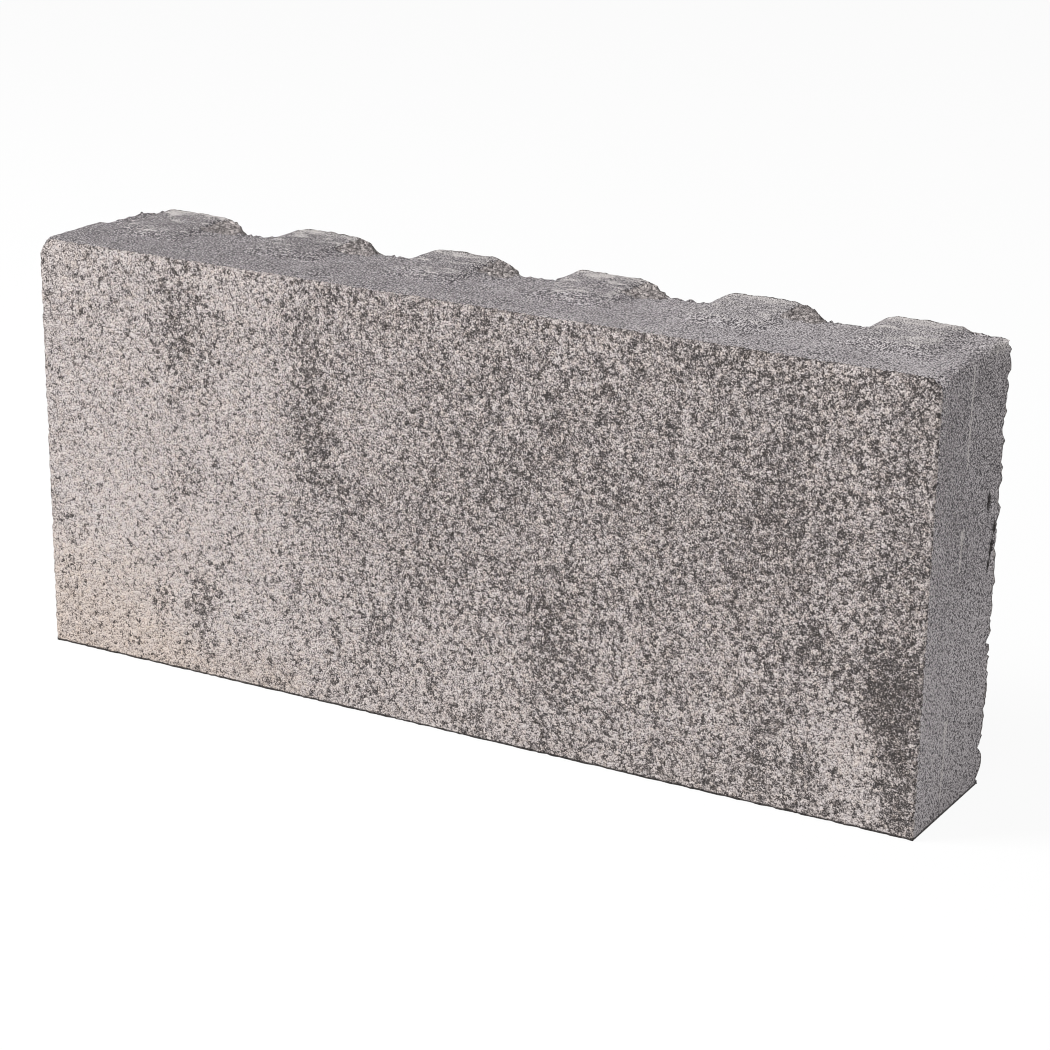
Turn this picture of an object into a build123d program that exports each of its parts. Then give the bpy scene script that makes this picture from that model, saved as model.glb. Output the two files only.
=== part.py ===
"""A concrete wall block: one dry-cast piece with spacer pads along its top.

Millimetres, +Z up. The origin is the centre of the footprint, on the ground.
X runs along the block, the fair face looks along -Y, and the rough back looks along +Y.
"""
from build123d import *
import os

# Body of the block, without its pads.
BODY_LENGTH = 600.0
BODY_THICKNESS = 100.0
BODY_HEIGHT = 266.0

# Eased arris round the fair face.
FACE_ARRIS = 2.0

# Spacer pads, moulded on the top and open to the back.
PAD_COUNT = 6
PAD_PITCH = 100.0
PAD_HEIGHT = 3.0
PAD_CROWN_WIDTH = 43.0
PAD_FLANK_RUN = 5.0
PAD_SETBACK = 36.0
PAD_RAMP_RUN = 12.0
PAD_CROWN_ARRIS = 1.2

# The back arris is broken away between each pad and the next.
# A break is widest at the back face, and its left side splays out towards the back.
BREAK_GAP_TO_PAD = 0.5
BREAK_REACH = 22.0
BREAK_DEPTH = 26.0
BREAK_MOUTH_WIDTH = 44.0
BREAK_FRONT_WIDTH = 26.0
BREAK_TOE_WIDTH = 14.0

# Places worked out from the sizes above.
FRONT_Y = -BODY_THICKNESS / 2
BACK_Y = BODY_THICKNESS / 2
CROWN_Z = BODY_HEIGHT + PAD_HEIGHT
FIRST_PAD_X = -PAD_PITCH * (PAD_COUNT - 1) / 2
PAD_FOOT_WIDTH = PAD_CROWN_WIDTH + 2 * PAD_FLANK_RUN


def make_body():
    """The plain block, standing on the ground, with eased arrises round its fair face."""
    body = Box(
        BODY_LENGTH, BODY_THICKNESS, BODY_HEIGHT,
        align=(Align.CENTER, Align.CENTER, Align.MIN),
    )
    fair_face = body.faces().sort_by(Axis.Y)[0]
    return fillet(fair_face.edges(), FACE_ARRIS)


def level_outline(height, corners):
    """A flat outline at a height, from its plan corners."""
    return Plane((0, 0, height)) * make_face(Polyline(*corners, close=True))


def make_pad(x):
    """One spacer pad: sloping flanks, a long ramp in front, and cut off at the back face."""
    foot_front = FRONT_Y + PAD_SETBACK
    crown_front = foot_front + PAD_RAMP_RUN
    past_back = BACK_Y + PAD_CROWN_WIDTH
    foot = level_outline(BODY_HEIGHT, [
        (x - PAD_FOOT_WIDTH / 2, foot_front),
        (x + PAD_FOOT_WIDTH / 2, foot_front),
        (x + PAD_FOOT_WIDTH / 2, past_back),
        (x - PAD_FOOT_WIDTH / 2, past_back),
    ])
    crown = level_outline(CROWN_Z, [
        (x - PAD_CROWN_WIDTH / 2, crown_front),
        (x + PAD_CROWN_WIDTH / 2, crown_front),
        (x + PAD_CROWN_WIDTH / 2, past_back),
        (x - PAD_CROWN_WIDTH / 2, past_back),
    ])
    pad = loft([foot, crown])
    crown_edges = pad.faces().sort_by(Axis.Z)[-1].edges()
    pad = chamfer(crown_edges, PAD_CROWN_ARRIS)
    return split(pad, bisect_by=Plane.XZ.offset(-BACK_Y), keep=Keep.TOP)


def make_break(pad_x):
    """The piece that is missing from the back arris, up to the left flank of the pad at pad_x."""
    right = pad_x - PAD_FOOT_WIDTH / 2 - BREAK_GAP_TO_PAD
    reach_per_depth = BREAK_REACH / BREAK_DEPTH
    over_z = CROWN_Z + PAD_HEIGHT
    over_front = BACK_Y - BREAK_REACH - (over_z - BODY_HEIGHT) * reach_per_depth
    under_z = BODY_HEIGHT - 2 * BREAK_DEPTH
    past_back = BACK_Y + BREAK_REACH
    section = Plane.YZ.offset(right) * make_face(Polyline(
        (over_front, over_z),
        (past_back, over_z),
        (past_back, under_z),
        close=True,
    ))
    wedge = extrude(section, amount=-2 * BREAK_MOUTH_WIDTH)
    front = Vector(right - BREAK_FRONT_WIDTH, BACK_Y - BREAK_REACH, BODY_HEIGHT)
    mouth = Vector(right - BREAK_MOUTH_WIDTH, BACK_Y, BODY_HEIGHT)
    toe = Vector(right - BREAK_TOE_WIDTH, BACK_Y, BODY_HEIGHT - BREAK_DEPTH)
    splay = Plane(origin=front, z_dir=(mouth - front).cross(toe - front))
    return split(wedge, bisect_by=splay, keep=Keep.BOTTOM)


def make_block():
    """The whole block."""
    block = make_body()
    pad_places = [FIRST_PAD_X + index * PAD_PITCH for index in range(PAD_COUNT)]
    for x in pad_places:
        block += make_pad(x)
    for x in pad_places[1:]:
        block -= make_break(x)
    return block


os.makedirs("parts", exist_ok=True)
export_step(make_block(), "parts/wall_block.step")
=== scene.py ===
"""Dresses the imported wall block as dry-cast concrete and sets up the studio view.

The block is one piece, so one mesh stands for it. A fine grid is laid on the frame's solid, which
gives it the pads, the arrises and the broken back edge, and the relief of the concrete is then worked
into the grid. Sizes are in millimetres, and become metres where a mesh, lamp or camera is made.
"""
import logging
import math
from dataclasses import dataclass
from enum import Enum
from typing import Any, Iterator

import bpy
import numpy as np
from mathutils import Matrix, Vector, noise
from mathutils.bvhtree import BVHTree


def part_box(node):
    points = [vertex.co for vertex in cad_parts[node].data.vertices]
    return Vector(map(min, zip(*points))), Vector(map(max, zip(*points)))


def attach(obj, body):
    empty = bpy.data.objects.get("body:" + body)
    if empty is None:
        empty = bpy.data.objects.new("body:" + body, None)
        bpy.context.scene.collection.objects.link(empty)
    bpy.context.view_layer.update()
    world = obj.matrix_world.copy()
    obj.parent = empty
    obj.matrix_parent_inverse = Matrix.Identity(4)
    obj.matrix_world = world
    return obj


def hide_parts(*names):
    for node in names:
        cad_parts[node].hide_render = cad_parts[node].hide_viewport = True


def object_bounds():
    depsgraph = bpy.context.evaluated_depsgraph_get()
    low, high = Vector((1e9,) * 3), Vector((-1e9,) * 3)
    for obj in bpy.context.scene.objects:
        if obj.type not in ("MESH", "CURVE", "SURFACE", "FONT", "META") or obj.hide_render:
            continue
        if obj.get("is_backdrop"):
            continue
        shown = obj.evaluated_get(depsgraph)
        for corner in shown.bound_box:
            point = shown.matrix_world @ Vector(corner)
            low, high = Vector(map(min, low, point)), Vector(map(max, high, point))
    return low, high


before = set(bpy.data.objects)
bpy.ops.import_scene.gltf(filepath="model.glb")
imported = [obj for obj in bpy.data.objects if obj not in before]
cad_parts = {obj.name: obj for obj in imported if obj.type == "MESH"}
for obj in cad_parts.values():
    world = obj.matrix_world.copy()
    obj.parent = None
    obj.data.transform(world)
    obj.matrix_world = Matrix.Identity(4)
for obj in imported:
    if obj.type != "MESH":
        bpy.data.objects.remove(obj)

log = logging.getLogger("wall_block")

MM = 0.001
BLOCK_NODE = "wall_block"
BODY = "root"


def linear(colour: str) -> tuple[float, float, float, float]:
    """Turns an sRGB hex colour to linear.

    Args:
        colour: the colour as "#rrggbb".

    Returns:
        The linear red, green, blue and alpha.
    """
    parts = [int(colour[i : i + 2], 16) / 255 for i in (1, 3, 5)]
    lin = [p / 12.92 if p <= 0.04045 else ((p + 0.055) / 1.055) ** 2.4 for p in parts]
    return (lin[0], lin[1], lin[2], 1.0)


def add_node(
    tree: bpy.types.NodeTree,
    kind: str,
    settings: dict[str, Any] | None = None,
    inputs: dict[str | int, Any] | None = None,
    stops: list[tuple[float, str]] | None = None,
) -> bpy.types.Node:
    """Adds a node with its settings and links.

    Args:
        tree: the tree that the node goes into.
        kind: the node's type.
        settings: the node's own properties.
        inputs: a socket to link from, or a value, for each input.
        stops: places and hex colours, for a node with a colour ramp.

    Returns:
        The new node.
    """
    node = tree.nodes.new(kind)
    for name, value in (settings or {}).items():
        setattr(node, name, value)
    for key, value in (inputs or {}).items():
        if isinstance(value, bpy.types.NodeSocket):
            tree.links.new(value, node.inputs[key])
        else:
            node.inputs[key].default_value = value
    if stops:
        elements = node.color_ramp.elements
        while len(elements) < len(stops):
            elements.new(1.0)
        for element, (place, colour) in zip(elements, stops):
            element.position = place
            element.color = linear(colour)
    return node


def weighed(tree: bpy.types.NodeTree, start: Any, terms: list[tuple[Any, Any]]) -> Any:
    """Adds up values by their shares.

    Args:
        tree: the tree that the sum goes into.
        start: what the sum starts from, a socket or a number.
        terms: each further value with its share.

    Returns:
        The sum's socket.
    """
    total = start
    for value, share in terms:
        total = add_node(
            tree, "ShaderNodeMath", {"operation": "MULTIPLY_ADD"}, {0: value, 1: share, 2: total}
        ).outputs[0]
    return total


def smooth_step(start: float, end: float, value: np.ndarray) -> np.ndarray:
    """Rises smoothly from 0 at start to 1 at end, or falls where the end lies below the start.

    Args:
        start: where the step is 0.
        end: where the step is 1.
        value: the values to read.

    Returns:
        The step at each value.
    """
    t = np.clip((value - start) / (end - start), 0.0, 1.0)
    return t * t * (3.0 - 2.0 * t)


def bell(value: np.ndarray, half_width: float) -> np.ndarray:
    """Reads a soft hump that is 1 at 0.

    Args:
        value: the values to read.
        half_width: the value at which the hump has fallen to about a third.

    Returns:
        The hump at each value.
    """
    return np.exp(-((value / half_width) ** 2))


@dataclass(frozen=True)
class Wander:
    """Soft noise of one kind.

    size is the width of its largest bumps in millimetres, layers counts the finer ones, seed moves it
    along shift, share is its strength, and stretch is a factor on the places along X, Y and Z.
    """

    size: float
    layers: int
    seed: float
    share: float = 1.0
    stretch: tuple[float, float, float] = (1.0, 1.0, 1.0)
    layer_fall: float = 0.8
    layer_ratio: float = 2.1
    shift: tuple[float, float, float] = (1.0, 1.7, -2.3)

    def at(self, points: np.ndarray) -> np.ndarray:
        """Reads the noise.

        Args:
            points: places in millimetres.

        Returns:
            Values about 0, mostly within -share and share.
        """
        shift = Vector([way * self.seed for way in self.shift])
        scaled = points * np.array(self.stretch) / self.size
        kind = (self.layer_fall, self.layer_ratio, self.layers)
        return self.share * np.array([noise.fractal(Vector(p) + shift, *kind) for p in scaled])


@dataclass(frozen=True)
class Lumps:
    """Rounded lumps packed side by side, as stones in a mix.

    size is their spacing in millimetres, seed moves them along shift, and mean is their mean height.
    """

    size: float
    seed: float
    mean: float
    reach: float = 0.9
    shift: tuple[float, float, float] = (1.0, -1.3, 0.7)

    def at(self, points: np.ndarray) -> np.ndarray:
        """Reads the lumps.

        Args:
            points: places in millimetres.

        Returns:
            The height over the mean, for lumps that are 1 high in their middle and 0 between them.
        """
        shift = Vector([way * self.seed for way in self.shift])
        nearest = np.array([noise.voronoi(Vector(p) + shift)[0][0] for p in points / self.size])
        return 1.0 - np.clip(nearest / self.reach, 0.0, 1.0) ** 2 - self.mean


class Side(Enum):
    """The six sides of the block, by the grid axis that they face along and the end that they are at."""

    FAIR_FACE = (1, 0)
    BACK = (1, 1)
    BED = (2, 0)
    TOP = (2, 1)
    LEFT_END = (0, 0)
    RIGHT_END = (0, 1)


@dataclass(frozen=True)
class Inset:
    """How far points lie inside each side of the block, in millimetres.

    top is measured from the body's own top, so it is below 0 on the pads.
    """

    left: np.ndarray
    right: np.ndarray
    front: np.ndarray
    back: np.ndarray
    bed: np.ndarray
    top: np.ndarray


@dataclass
class BlockGrid:
    """The grid of points that covers the block, finest where the block is seen most.

    Fields are in millimetres. The back below its fine band, and the bed, have cells of double size.
    """

    low: np.ndarray
    high: np.ndarray
    cell: float = 1.95
    depth_cell: float = 2.2
    fine_band: float = 46.0
    arris_steps: tuple[float, ...] = (0.6, 0.8, 1.1, 1.5)

    def stops(self, axis: int) -> np.ndarray:
        """Places the grid's lines along one axis, closer together next to the arrises.

        Args:
            axis: 0, 1 or 2 for X, Y or Z.

        Returns:
            The lines' places, an odd number of them, so that every second line reaches both ends.
        """
        cell = self.depth_cell if axis == 1 else self.cell
        edge = np.cumsum(self.arris_steps)
        span = self.high[axis] - self.low[axis] - 2 * edge[-1]
        count = 2 * round(span / cell / 2)
        middle = np.linspace(self.low[axis] + edge[-1], self.high[axis] - edge[-1], count + 1)
        before = np.concatenate([[0.0], edge[:-1]]) + self.low[axis]
        after = self.high[axis] - np.concatenate([[0.0], edge[:-1]])[::-1]
        return np.concatenate([before, middle, after])

    def build(self) -> tuple[np.ndarray, list[tuple[int, ...]]]:
        """Makes the points and faces of the box that the block is shaped from.

        Returns:
            The points in millimetres, and the faces as runs of point numbers.
        """
        lines = [self.stops(axis) for axis in range(3)]
        counts = [len(line) - 1 for line in lines]
        numbers: dict[tuple[int, int, int], int] = {}
        points: list[tuple[float, float, float]] = []
        faces: list[tuple[int, ...]] = []
        band_start = int(np.searchsorted(lines[2], self.high[2] - self.fine_band)) // 2 * 2

        def number(key: tuple[int, int, int]) -> int:
            """Gives a grid place its point number, and makes the point when it is new."""
            if key not in numbers:
                numbers[key] = len(points)
                points.append((lines[0][key[0]], lines[1][key[1]], lines[2][key[2]]))
            return numbers[key]

        for side in Side:
            across, end = side.value
            u_axis, v_axis = [axis for axis in range(3) if axis != across]
            fixed = counts[across] if end else 0
            flip = (end == 1) != (across == 1)
            patches = [(0, counts[v_axis], 1)]
            if side is Side.BACK:
                patches = [(0, band_start, 2), (band_start, counts[v_axis], 1)]
            if side is Side.BED:
                patches = [(0, counts[v_axis], 2)]
            for v_start, v_end, step in patches:
                for ring in self.cells(counts[u_axis], v_start, v_end, step):
                    loop = []
                    for u, v in ring:
                        key = [0, 0, 0]
                        key[across], key[u_axis], key[v_axis] = fixed, u, v
                        loop.append(number((key[0], key[1], key[2])))
                    faces.append(tuple(loop if flip else reversed(loop)))
        return np.array(points), faces

    @staticmethod
    def cells(u_count: int, v_start: int, v_end: int, step: int) -> Iterator[list[tuple[int, int]]]:
        """Walks the cells of a patch of one side.

        Args:
            u_count: the number of fine cells along the first direction.
            v_start: the patch's first line along the second direction.
            v_end: its last line.
            step: 1 for fine cells and 2 for double ones.

        Yields:
            Each cell's grid places in order. A double cell on the patch's rim takes in the fine lines
            that its neighbours end on, so the mesh stays closed.
        """
        for u in range(0, u_count, step):
            for v in range(v_start, v_end, step):
                ring = [(u, v)]
                if step == 2 and v == v_start:
                    ring.append((u + 1, v))
                ring.append((u + step, v))
                if step == 2 and u + step == u_count:
                    ring.append((u + step, v + 1))
                ring.append((u + step, v + step))
                if step == 2 and v + step == v_end:
                    ring.append((u + 1, v + step))
                ring.append((u, v + step))
                if step == 2 and u == 0:
                    ring.append((u, v + 1))
                yield ring


@dataclass(frozen=True)
class Tone:
    """A slow change over the fair face, with the steps along X and up Z over which it comes in.

    Places are in millimetres from the block's lower left corner. A step whose end lies before its start
    comes in the other way, and None is everywhere.
    """

    share: float
    along: tuple[float, float] | None = None
    up: tuple[float, float] | None = None

    def at(self, x: np.ndarray, z: np.ndarray) -> np.ndarray:
        """Reads the change.

        Args:
            x: places along the face.
            z: places up the face.

        Returns:
            The change at each place.
        """
        change = np.full_like(x, self.share)
        for step, place in ((self.along, x), (self.up, z)):
            if step:
                change *= smooth_step(*step, place)
        return change


@dataclass(frozen=True)
class Stain:
    """A patch of the fair face that is darker than what is round it, or paler below a strength of 0.

    x and z are its middle from the block's lower left corner, and the halves are its reach.
    """

    x: float
    z: float
    half_width: float
    half_height: float
    strength: float


@dataclass(frozen=True)
class FaceTones:
    """How light the fair face's grains are, how many are dark, and how warm they are.

    The face is palest and warmest at its lower left, and darkens to the right and upwards. Two broad
    bands, each with its middle, half its width and its share, and many stains, which run down the face
    as the mix did, are listed.
    """

    plain_light: float = 0.98
    light: tuple[Tone, ...] = (
        Tone(-0.07, along=(165.0, 235.0)),
        Tone(-0.18, along=(165.0, 235.0), up=(30.0, 150.0)),
        Tone(0.15, along=(170.0, 50.0), up=(150.0, 30.0)),
        Tone(-0.07, along=(235.0, 165.0), up=(90.0, 240.0)),
        Tone(-0.07, along=(560.0, 575.0), up=(120.0, 150.0)),
    )
    rubbed_arris: Tone = Tone(0.15, along=(596.5, 598.5))
    bands: tuple[tuple[float, float, float], ...] = ((195.0, 35.0, 0.04), (465.0, 45.0, 0.05))
    light_streaks: Wander = Wander(13.0, 3, 4.2, share=0.09, stretch=(1.0, 1.0, 0.32))
    limit: float = 1.2
    plain_specks: float = 0.15
    specks: tuple[Tone, ...] = (
        Tone(0.13, along=(165.0, 235.0)),
        Tone(0.07, along=(250.0, 400.0)),
        Tone(0.02, along=(235.0, 165.0), up=(150.0, 230.0)),
    )
    speck_streaks: Wander = Wander(14.0, 3, 14.2, share=0.18, stretch=(1.0, 1.0, 0.32))
    speck_clusters: Wander = Wander(5.5, 3, 6.4, share=0.30)
    warm: tuple[Tone, ...] = (
        Tone(1.0, along=(150.0, 40.0), up=(110.0, 20.0)),
        Tone(0.5, along=(240.0, 150.0), up=(40.0, 6.0)),
    )
    warm_patches: Wander = Wander(30.0, 2, 9.1, share=0.2)
    stain_fall: float = 0.9
    stain_darkening: float = 0.4
    stains: tuple[Stain, ...] = (
        Stain(106, 222, 14, 32, 0.42),
        Stain(200, 182, 14, 44, 0.34),
        Stain(196, 215, 10, 20, 0.12),
        Stain(119, 44, 9, 26, 0.46),
        Stain(240, 190, 18, 34, -0.16),
        Stain(60, 130, 20, 90, -0.06),
        Stain(112, 130, 28, 12, 0.16),
        Stain(85, 45, 7, 18, 0.16),
        Stain(250, 55, 14, 24, 0.14),
        Stain(285, 125, 16, 26, 0.08),
        Stain(345, 167, 14, 30, 0.14),
        Stain(362, 205, 12, 26, 0.16),
        Stain(368, 64, 17, 42, 0.28),
        Stain(510, 180, 18, 62, 0.20),
        Stain(535, 100, 8, 14, 0.42),
        Stain(500, 34, 9, 24, 0.24),
        Stain(531, 25, 8, 16, 0.30),
        Stain(584, 82, 18, 28, 0.86),
        Stain(590, 40, 7, 22, 0.40),
        Stain(592, 14, 8, 16, 0.36),
        Stain(560, 45, 13, 32, -0.26),
        Stain(30, 140, 40, 60, -0.03),
    )

    def at(self, near: Inset) -> dict[str, np.ndarray]:
        """Reads the tones.

        Args:
            near: the points' places in the block.

        Returns:
            The lightness of the pale grains, the share of dark grains, and the warmth, by their names.
        """
        x, z = near.left, near.bed
        flat = np.stack([x, np.zeros_like(x), z], axis=1)
        light = self.plain_light + self.light_streaks.at(flat) + self.rubbed_arris.at(x, z)
        light += sum(tone.at(x, z) for tone in self.light)
        light -= sum(share * bell(x - middle, half_width) for middle, half_width, share in self.bands)
        specks = self.plain_specks + self.speck_streaks.at(flat) + self.speck_clusters.at(flat)
        specks += sum(tone.at(x, z) for tone in self.specks)
        for stain in self.stains:
            reach = ((x - stain.x) / stain.half_width) ** 2 + ((z - stain.z) / stain.half_height) ** 2
            here = stain.strength * np.exp(-reach * self.stain_fall)
            specks += here
            light -= self.stain_darkening * here
        warm = sum(tone.at(x, z) for tone in self.warm) + self.warm_patches.at(flat)
        return {
            "light": np.clip(light, 0.0, self.limit),
            "specks": np.clip(specks, 0.0, 1.0),
            "warm": np.clip(warm, 0.0, self.limit),
        }


@dataclass(frozen=True)
class SkinTones:
    """How the smooth skin's tone changes slowly, and where it is rubbed pale.

    The top is painted darker towards the left, and the right end painted paler towards its foot, as painted
    light and shade. What was stacked on the pads has rubbed their crowns in streaks along the block, most
    at their rear, and the right end's top arris. Steps are in millimetres, inside the sides or above the
    body's top.
    """

    top_depth: float = 3.0
    along_top: tuple[float, float] = (20.0, 570.0)
    top_gain: float = 1.4
    top_offset: float = -0.75
    up_end: tuple[float, float] = (235.0, 30.0)
    end_gain: float = 1.3
    end_offset: float = 0.25
    clouds: tuple[Wander, ...] = (Wander(30.0, 3, 71.0, share=0.45), Wander(9.0, 2, 72.0, share=0.45))
    streaks: Wander = Wander(4.5, 4, 61.0, stretch=(0.35, 1.0, 1.0))
    crown: tuple[float, float] = (1.4, 2.8)
    flank: tuple[float, float] = (0.3, 1.4)
    crown_rear: tuple[float, float] = (16.0, 3.0)
    crown_share: float = 0.06
    rear_share: float = 0.42
    streak_share: float = 0.8
    flank_share: float = 0.3
    left_pads: float = 0.85
    right_gain: float = 0.4
    towards_right: tuple[float, float] = (150.0, 550.0)
    arris_share: float = 0.75
    arris_reach: float = 5.0
    arris_rear: tuple[float, float] = (55.0, 95.0)

    def painted_light_and_mottle(self, p: np.ndarray, near: Inset) -> np.ndarray:
        """Reads the slow changes: painted light along the top and up the right end, with random mottle.

        Args:
            p: the points on the solid.
            near: their places in the block.

        Returns:
            About -1 where the skin is darkest and 1 where it is palest.
        """
        # painted light and shade: the top darkens towards the left and the end pales towards its foot,
        # standing in for the lamps' fall-off and the ground's bounce; the clouds are random mottle
        top = self.top_gain * smooth_step(*self.along_top, near.left) + self.top_offset
        end = self.end_gain * smooth_step(*self.up_end, near.bed) + self.end_offset
        return np.where(near.top < self.top_depth, top, end) + sum(painted_light_and_mottle.at(p) for painted_light_and_mottle in self.clouds)

    def rub(self, p: np.ndarray, near: Inset) -> np.ndarray:
        """Reads how far the skin is rubbed.

        Args:
            p: the points on the solid.
            near: their places in the block.

        Returns:
            0 where it is untouched and 1 where it is rubbed most.
        """
        streaks = np.clip(self.streaks.at(p), 0.0, 1.0)
        rear = smooth_step(*self.crown_rear, near.back)
        rub = self.crown_share + self.rear_share * rear + self.streak_share * streaks
        rub *= smooth_step(*self.crown, -near.top)
        rub *= self.left_pads + self.right_gain * smooth_step(*self.towards_right, near.left)
        rub += self.flank_share * streaks * smooth_step(*self.flank, -near.top)
        arris = bell(np.abs(near.right) + np.abs(near.top), self.arris_reach)
        rub += self.arris_share * arris * smooth_step(*self.arris_rear, near.front)
        return np.clip(rub, 0.0, 1.0)


@dataclass(frozen=True)
class TornFlanks:
    """The torn concrete at the rear of each pad's right flank, all but the last pad's.

    Sizes are in millimetres, from the pad's middle or from the fair face.
    """

    start: float = 21.5
    start_softness: float = 2.0
    end: tuple[float, float] = (49.0, 46.0)
    front: tuple[float, float] = (64.0, 76.0)
    depth: tuple[float, float] = (3.0, -0.4)
    side_wobble: Wander = Wander(7.0, 2, 81.0, share=2.5)
    front_wobble: Wander = Wander(9.0, 2, 82.0, share=2.0)

    def at(self, p: np.ndarray, near: Inset, pitch: float) -> np.ndarray:
        """Finds the torn places.

        Args:
            p: the points on the solid.
            near: their places in the block.
            pitch: the distance from one pad to the next.

        Returns:
            A weight from 0 to 1 at each point.
        """
        from_pad = np.mod(near.left, pitch) - pitch / 2
        torn = smooth_step(0.0, self.start_softness, from_pad - self.start - self.side_wobble.at(p))
        torn *= smooth_step(*self.end, from_pad)
        torn *= smooth_step(*self.front, near.front - self.front_wobble.at(p))
        torn *= smooth_step(*self.depth, near.top)
        return torn * (near.right > pitch)


@dataclass(frozen=True)
class Relief:
    """How far each kind of surface stands out of the solid or sinks below it, in millimetres.

    The fair face has grains, the skin is nearly even, the back has a coarse swell with grains on it, and
    the broken places have stones. The top's rear edge is crumbled, least on the pads.
    """

    grain: Lumps = Lumps(3.4, 3.0, 0.55)
    stones: Lumps = Lumps(7.5, 5.0, 0.6)
    fine: Wander = Wander(4.0, 2, 7.0)
    swell: Wander = Wander(38.0, 2, 2.0)
    fair_grain: float = 0.54
    fair_fine: float = 0.288
    skin_fine: float = 0.06
    skin_swell: float = 0.16
    top_swell: Wander = Wander(24.0, 2, 17.0, share=0.35)
    upright_limit: float = 0.7
    top_margin: float = 1.0
    crumbs: Wander = Wander(2.7, 2, 18.0)
    crumb_height: float = 2.3
    crumb_bias: float = 0.15
    crumb_limits: tuple[float, float] = (-0.4, 1.0)
    valley_rear: float = 21.5
    valley_reach: float = 2.6
    rear_arris: tuple[float, float] = (5.0, 2.0)
    rear_arris_share: float = 0.6
    pad_rise: tuple[float, float] = (0.4, 1.4)
    pad_shelter: float = 0.75
    back_swell: Wander = Wander(13.0, 3, 11.0, share=0.85)
    back_grain: float = 0.68
    torn_swell: Wander = Wander(11.0, 3, 13.0, share=1.5)
    torn_fine: Wander = Wander(3.2, 2, 14.0, share=1.05)
    torn_stones: float = 1.8
    torn_grain: float = 0.9
    bed_fade: tuple[float, float] = (1.5, 0.3)

    def height(
        self, p: np.ndarray, n: np.ndarray, near: Inset, zones: dict[str, np.ndarray], back: np.ndarray
    ) -> np.ndarray:
        """Works out the relief.

        Args:
            p: the points on the solid.
            n: their normals.
            near: their places in the block.
            zones: the weights of the surface's kinds.
            back: the weight of the back.

        Returns:
            The relief in millimetres at each point, outwards.
        """
        fair, broken = zones["fair"], zones["broken"]
        skin = np.clip(1.0 - fair - broken, 0.0, 1.0)
        grain, fine = self.grain.at(p), self.fine.at(p)
        out = fair * (self.fair_grain * grain + self.fair_fine * fine)
        out += skin * (self.skin_fine * fine + self.skin_swell * self.swell.at(p))
        on_top = (n[:, 2] > self.upright_limit) & (near.top < self.top_margin)
        out += skin * on_top * self.top_swell.at(p)
        crumbled = bell(near.back - self.valley_rear, self.valley_reach)
        crumbled = np.maximum(crumbled, self.rear_arris_share * smooth_step(*self.rear_arris, near.back))
        crumbled *= on_top * (1.0 - self.pad_shelter * smooth_step(*self.pad_rise, -near.top))
        crumbs = np.clip(self.crumbs.at(p) + self.crumb_bias, *self.crumb_limits)
        out += crumbled * self.crumb_height * crumbs
        out += broken * back * (self.back_swell.at(p) + self.back_grain * grain)
        torn = self.torn_swell.at(p) + self.torn_fine.at(p)
        torn += self.torn_stones * self.stones.at(p) + self.torn_grain * grain
        out += broken * (1.0 - back) * torn
        on_bed = smooth_step(*self.bed_fade, near.bed) * (np.abs(n[:, 2]) > self.upright_limit)
        return out * (1.0 - on_bed)


@dataclass(frozen=True)
class Void:
    """A hole left in the right end where the mix did not fill the mould.

    depth_place is its middle's distance from the fair face, and z its middle's height, in millimetres.
    """

    depth_place: float
    z: float
    half_width: float
    half_height: float
    depth: float


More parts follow.
